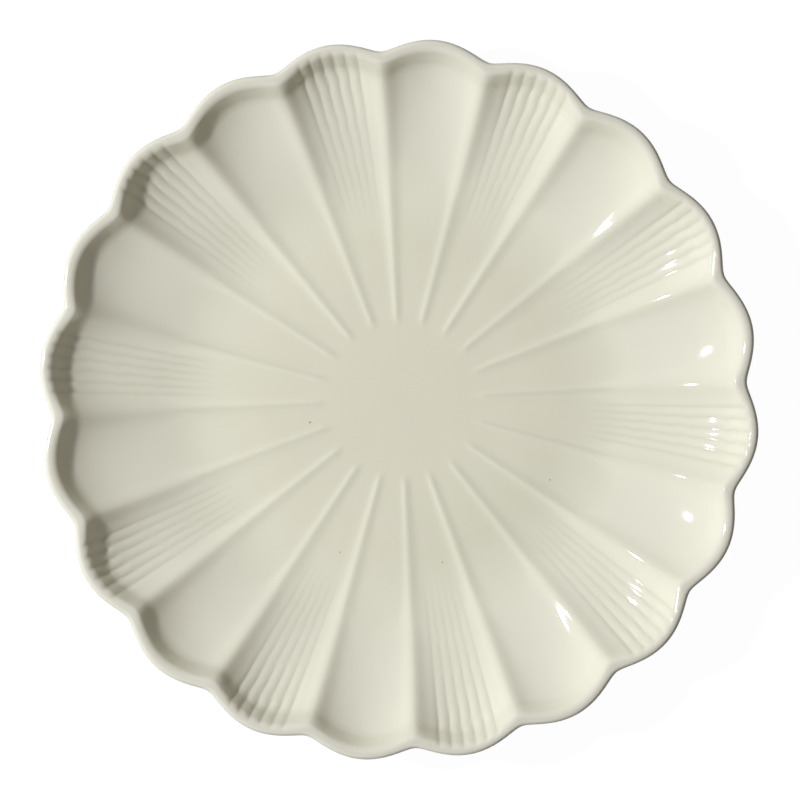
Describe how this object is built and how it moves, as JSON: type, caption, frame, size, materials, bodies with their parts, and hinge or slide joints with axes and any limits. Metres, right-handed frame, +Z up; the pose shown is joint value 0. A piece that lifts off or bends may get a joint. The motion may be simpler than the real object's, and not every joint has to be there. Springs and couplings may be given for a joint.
{
  "type": "plate",
  "caption": "Round scalloped ceramic plate with petal-shaped flutes, every second one finely ribbed, an upturned wavy rim and a bare foot ring to stand on.",
  "frame": {"origin": "on the table, at the middle of the foot ring", "axes": "+Z up out of the dish, +X through the middle of a plain petal, +Y to its left seen from above"},
  "size_m": [0.27, 0.27, 0.0285],
  "materials": {
    "clay": "bare fired clay, fine grained and matt",
    "glaze": "cream glaze, glossy, with faint mottling and a few pinholes"
  },
  "bodies": {
    "root": {"clay_body": "clay", "foot_ring": "clay", "glaze_coat": "glaze", "base_glaze": "glaze"}
  },
  "joints": []
}
